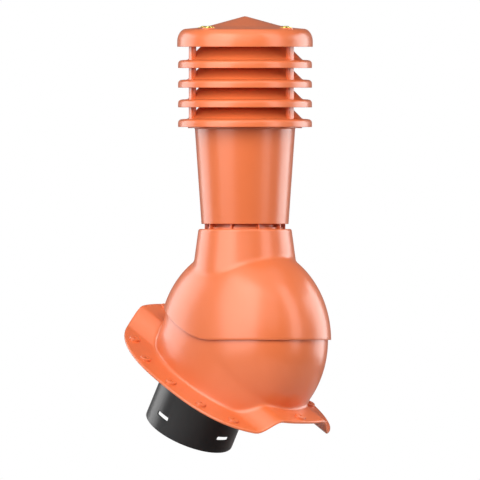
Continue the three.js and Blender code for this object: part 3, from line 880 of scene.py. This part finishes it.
posts = add_node(louvres, "GeometryNodeInstanceOnPoints", {
    "Points": post_seats.outputs["Mesh"], "Instance": post_out.outputs["Geometry"],
    "Rotation": even_turns(louvres, group_in.outputs["Posts"], group_in.outputs["First post"])})
one_louvre = add_node(louvres, "GeometryNodeJoinGeometry")
louvres.links.new(posts.outputs["Instances"], one_louvre.inputs["Geometry"])
louvres.links.new(ring.outputs["Mesh"], one_louvre.inputs["Geometry"])
climb = add_node(louvres, "ShaderNodeCombineXYZ", {"Z": group_in.outputs["Pitch"]})
levels = add_node(louvres, "GeometryNodeMeshLine", {
    "Count": group_in.outputs["Rings"], "Offset": climb.outputs["Vector"]})
stack = add_node(louvres, "GeometryNodeInstanceOnPoints", {
    "Points": levels.outputs["Mesh"], "Instance": one_louvre.outputs["Geometry"]})
in_place = add_node(louvres, "GeometryNodeTransform", {
    "Geometry": stack.outputs["Instances"], "Translation": group_in.outputs["Centre"]})
end_tree(louvres, in_place.outputs["Geometry"], group_in.outputs["Finish"], group_out)

# %% The rings
RING_RADIUS, RING_WALL, RING_PITCH = 109.2, 3.0, 32.07
POST_CIRCLE, POST_DEPTH, POST_WIDTH = 92.4, 9, 12.5
FIRST_POST = math.radians(37.1)
ring_inside = RING_RADIUS - RING_WALL
ring_section = eased([
    (ring_inside, 0, 0.7), (RING_RADIUS, 0, 0.9), (RING_RADIUS, 12.7, 8.0), (93.8, 13.4, 2.0),
    (70.8, 36.4, 1.0), (68.7, 34.3, 0.8), (92.5, 10.4, 1.5), (ring_inside, 9.9, 5.5)], steps=6)


def section_mesh(name, section, centre_radius):
    """A closed line in the XY plane, with radius along X from the rim and height down Y."""
    mesh = bpy.data.meshes.new(name)
    corners = [((r - centre_radius) * MM, -z * MM, 0) for r, z in section]
    edges = [(i, (i + 1) % len(corners)) for i in range(len(corners))]
    mesh.from_pydata(corners, edges, [])
    return mesh


ring_line = section_mesh("ring_section", ring_section, RING_RADIUS)
louvre_rings = apply_tree("louvre_rings", ring_line, louvres, {
    "Rings": 4, "Pitch": RING_PITCH * MM, "Rim radius": RING_RADIUS * MM,
    "Posts": 3, "First post": FIRST_POST, "Post radius": POST_CIRCLE * MM,
    "Post depth": POST_DEPTH * MM, "Post width": POST_WIDTH * MM, "Post foot": 10.6 * MM,
    "Post height": 31.6 * MM, "Centre": tuple(stand_plumb([0, 0, NECK_TOP]))}, terracotta)
ring_points = (np.array([vertex.co for vertex in louvre_rings.data.vertices]) - PIVOT) / MM
print("rings reach in mm:", np.round(ring_points.min(0), 1), np.round(ring_points.max(0), 1))

# %% [markdown]
# ## The cap
#
# A hollow cap with a rounded shoulder and a shallow cone sheds the rain. It is screwed to a flat ring
# that the top louvre's posts carry. Both are turned sections, and the cap's section starts and ends
# on the axis, where its points are merged.

# %% The cap and the ring inside it
CAP_BOTTOM, CAP_RADIUS, CAP_WALL = 478.01, 110.6, 3.0
SKIRT_TOP = 8.5
SHOULDER_RADIUS, SHOULDER_TOP = 95.6, 29.5
HEAD_RING_RADIUS, HEAD_RING_BORE, HEAD_RING_THICKNESS = 94.8, 80.8, 4


def shoulder(side, skirt, run_to, height, steps=12):
    """A quarter of an ellipse from the skirt's top inwards to the shoulder."""
    turns = np.linspace(0, math.pi / 2, steps + 1)
    return [(run_to + (side - run_to) * math.cos(a), skirt + (height - skirt) * math.sin(a))
            for a in turns]


cone_line = eased([(SHOULDER_RADIUS, SHOULDER_TOP, 0), (65.0, 32.3, 14.0), (2.0, 49.65, 1.5),
                   (0, 49.9, 0)], closed=False, steps=8)
cone_inside = eased([(SHOULDER_RADIUS, SHOULDER_TOP - CAP_WALL, 0), (65.0, 32.3 - CAP_WALL, 10.0),
                     (0, 47.2, 0)], closed=False, steps=6)
cap_inside = CAP_RADIUS - CAP_WALL
cap_section = (
    cone_line[::-1]
    + shoulder(CAP_RADIUS, SKIRT_TOP, SHOULDER_RADIUS, SHOULDER_TOP)[::-1][1:]
    + eased([(CAP_RADIUS, SKIRT_TOP, 0), (CAP_RADIUS, 0, 0.9), (cap_inside, 0, 0.7),
             (cap_inside, SKIRT_TOP, 0)], closed=False, steps=4)[1:]
    + shoulder(cap_inside, SKIRT_TOP, SHOULDER_RADIUS, SHOULDER_TOP - CAP_WALL)[1:]
    + cone_inside[1:])
cap_shell = skin("cap_shell", stand_plumb(turn(cap_section, 160, (0, 0, CAP_BOTTOM))),
                 terracotta, closed_section=False)
head_top = CAP_BOTTOM + 26.2
head_bottom = head_top - HEAD_RING_THICKNESS
head_ring = skin("head_ring", stand_plumb(turn(eased([
    (HEAD_RING_BORE, head_bottom, 0.6), (HEAD_RING_RADIUS, head_bottom, 0.6),
    (HEAD_RING_RADIUS, head_top, 0.6), (HEAD_RING_BORE, head_top, 0.6)], steps=3), 96)), terracotta)
head_post = rounded_block(
    "head_post", (POST_CIRCLE - POST_DEPTH / 2, -POST_WIDTH / 2, CAP_BOTTOM + 6),
    (POST_CIRCLE + POST_DEPTH / 2, POST_WIDTH / 2, head_top - 2), 1.0)
head_posts = apply_tree("head_posts", head_post, ring_of, {
    "Count": 3, "First angle": FIRST_POST, "Centre": tuple(PIVOT)}, terracotta)

# %% [markdown]
# ## Cap screws and their pads
#
# Four plated screws with washers hold the cap down, each on a low round pad. One screw is turned from
# a section and a cross is cut in its head. One tree repeats the screws, and again the pads.

# %% The pads, screws and washers
SCREW_CIRCLE, FIRST_SCREW = 89, math.radians(3.8)
SCREW_SEAT = CAP_BOTTOM + 31.0
around_cap = {"Count": 4, "First angle": FIRST_SCREW, "Centre": tuple(PIVOT)}
pad_mesh = skin("cap_pad_pattern", turn(eased([
    (0, 27.6, 0), (11.5, 27.6, 0), (11.5, 30.75, 0.5), (0, 30.75, 0)], closed=False, steps=4),
    40, (SCREW_CIRCLE, 0, CAP_BOTTOM)) * MM, terracotta, closed_section=False)
cap_pads = apply_tree("cap_pads", pad_mesh.data, ring_of, around_cap, terracotta)
screw_mesh = skin("screw_pattern", turn(eased([
    (0, -20, 0), (2.2, -17.5, 0.3), (2.2, 0, 0), (9.3, 0, 0.3), (9.3, 1.2, 0.4),
    (5.6, 1.2, 0.2), (5.6, 2.1, 0.8), (3.4, 3.1, 1.0), (0, 3.1, 0)], closed=False, steps=4),
    40, (SCREW_CIRCLE, 0, SCREW_SEAT)) * MM, yellow_zinc, closed_section=False)
for half_x, half_y in ((2.6, 0.55), (0.55, 2.6)):
    recess = rounded_block("recess", (SCREW_CIRCLE - half_x, -half_y, SCREW_SEAT + 1.7),
                           (SCREW_CIRCLE + half_x, half_y, SCREW_SEAT + 4), 0.15)
    screw_mesh = cut_away(screw_mesh, finish_mesh("recess_cutter", recess, yellow_zinc))
cap_screws = apply_tree("cap_screws", screw_mesh.data, ring_of, around_cap, yellow_zinc)
for pattern in (pad_pattern, drill_pattern, pad_mesh, screw_mesh):
    bpy.data.objects.remove(pattern)

# %% [markdown]
# ## Each piece rides on its body
#
# The flashing and the spigot are fixed to the roof. Everything above the seam tilts with the hood.
# Each row names a piece, its body, the solids that it stands for, which are hidden, and the finish that it
# takes.

# %% Ride and replace
for piece, body, stands_for, finish in (
        (base_shell, "base", ["base_flashing"], "terracotta_plastic"),
        (flashing_pads, "base", [], "terracotta_plastic"),
        (spigot, "base", ["spigot_pipe"], "black_plastic"),
        (hood_shell, "stack", ["hood"], "terracotta_plastic"),
        (sleeve_ribs, "stack", [], "terracotta_plastic"),
        (neck, "stack", ["neck_pipe"], "terracotta_plastic"),
        (louvre_rings, "stack", [f"louvre_ring_{i}" for i in (1, 2, 3, 4)], "terracotta_plastic"),
        (head_ring, "stack", [], "terracotta_plastic"),
        (head_posts, "stack", [], "terracotta_plastic"),
        (cap_shell, "stack", ["cap"], "terracotta_plastic"),
        (cap_pads, "stack", [], "terracotta_plastic"),
        (cap_screws, "stack", [f"cap_screw_{i}" for i in (1, 2, 3, 4)], "yellow_zinc")):
    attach(piece, body)
    if stands_for:
        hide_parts(*stands_for)

# %% [markdown]
# ## Studio
#
# The chimney is photographed level, from a corner, with a long lens, so the camera has no perspective.
# A small pale floor lies just below the spigot's end. The key lamp gives the soft shading and isn't seen
# in reflections. Two tall lamps beside the camera are seen only in reflections, so they draw the upright
# bands of light down the round walls without lighting the rest, and a wide one above does the same on top.
# One pixel of a picture 480 pixels wide is PIXEL metres on the chimney, which sets what the camera sees.
# Two lamps at the chimney's sides, a little behind it, light its outlines. The surroundings are white to
# the camera and dim to the plastic, because full white all round would wash the colour out.

# %% Floor and camera
PIXEL = 0.0016304
FRAME_WIDTH = 480 * PIXEL
FLOOR_HALF = 0.5

floor_mesh = bpy.data.meshes.new("floor")
floor_z = cad_box[0][2] - 0.001
floor_mesh.from_pydata([(x * FLOOR_HALF, y * FLOOR_HALF, floor_z)
                        for x, y in ((-1, -1), (1, -1), (1, 1), (-1, 1))], [], [(0, 1, 2, 3)])
floor = bpy.data.objects.new("floor", floor_mesh)
floor_finish = bpy.data.materials.new("pale_floor")
floor_finish.use_nodes = True
floor_shader = floor_finish.node_tree.nodes["Principled BSDF"]
floor_shader.inputs["Base Color"].default_value = (0.6, 0.6, 0.6, 1)
floor_shader.inputs["Roughness"].default_value = 0.9
floor_mesh.materials.append(floor_finish)
bpy.context.scene.collection.objects.link(floor)

back = Vector((-math.sqrt(0.5), -math.sqrt(0.5), 0))
right = Vector((math.sqrt(0.5), -math.sqrt(0.5), 0))
aim = Vector(PIVOT) - right * 5 * PIXEL + Vector((0, 0, 100 * PIXEL))
camera = bpy.data.objects.new("camera", bpy.data.cameras.new("camera"))
camera.data.type = "ORTHO"
camera.data.ortho_scale = FRAME_WIDTH
camera.location = aim + back * 4
camera.rotation_euler = (-back).to_track_quat("-Z", "Y").to_euler()
bpy.context.scene.collection.objects.link(camera)
bpy.context.scene.camera = camera
print("camera sees mm:", round(FRAME_WIDTH / MM, 1))

# %% Surroundings and lamps
bpy.context.scene.view_settings.view_transform = "Standard"
world = bpy.data.worlds.new("white surroundings")
world.use_nodes = True
surround = world.node_tree.nodes["Background"]
surround.inputs["Color"].default_value = (1, 1, 1, 1)
seen_ray = add_node(world.node_tree, "ShaderNodeLightPath")
white_level = add_node(world.node_tree, "ShaderNodeMapRange", {
    "Value": seen_ray.outputs["Is Camera Ray"], "To Min": 0.16, "To Max": 1.0})
world.node_tree.links.new(white_level.outputs["Result"], surround.inputs["Strength"])
bpy.context.scene.world = world


def softbox(name, turn_from_camera, height, width, tall, power, distance=2.2):
    """A soft lamp at an angle round the chimney, to the right of the camera if positive."""
    angle = math.radians(turn_from_camera)
    away = back * math.cos(angle) + right * math.sin(angle)
    lamp = bpy.data.objects.new(name, bpy.data.lights.new(name, "AREA"))
    lamp.data.shape, lamp.data.size, lamp.data.size_y = "RECTANGLE", width, tall
    lamp.data.energy = power
    target = Vector(PIVOT) + Vector((0, 0, 0.2))
    lamp.location = target + away * distance + Vector((0, 0, height))
    lamp.rotation_euler = (target - lamp.location).to_track_quat("-Z", "Y").to_euler()
    lamp.visible_camera = False
    bpy.context.scene.collection.objects.link(lamp)
    return lamp


key = softbox("key lamp", -12, 1.0, 2.0, 1.6, 53, 1.7)
key.visible_glossy = False
for name, turn_from_camera, height, width, tall, power, distance in (
        ("left band lamp", -46, 0.8, 1.9, 3.0, 52, 2.0),
        ("right band lamp", 52, 0.8, 0.85, 3.0, 24, 2.0),
        ("ceiling lamp", -20, 2.3, 3.0, 3.0, 22, 0.6)):
    band = softbox(name, turn_from_camera, height, width, tall, power, distance)
    band.visible_diffuse = False
softbox("left rim lamp", -118, 0.3, 1.6, 2.0, 26)
softbox("right rim lamp", 113, 0.3, 1.6, 2.0, 38)
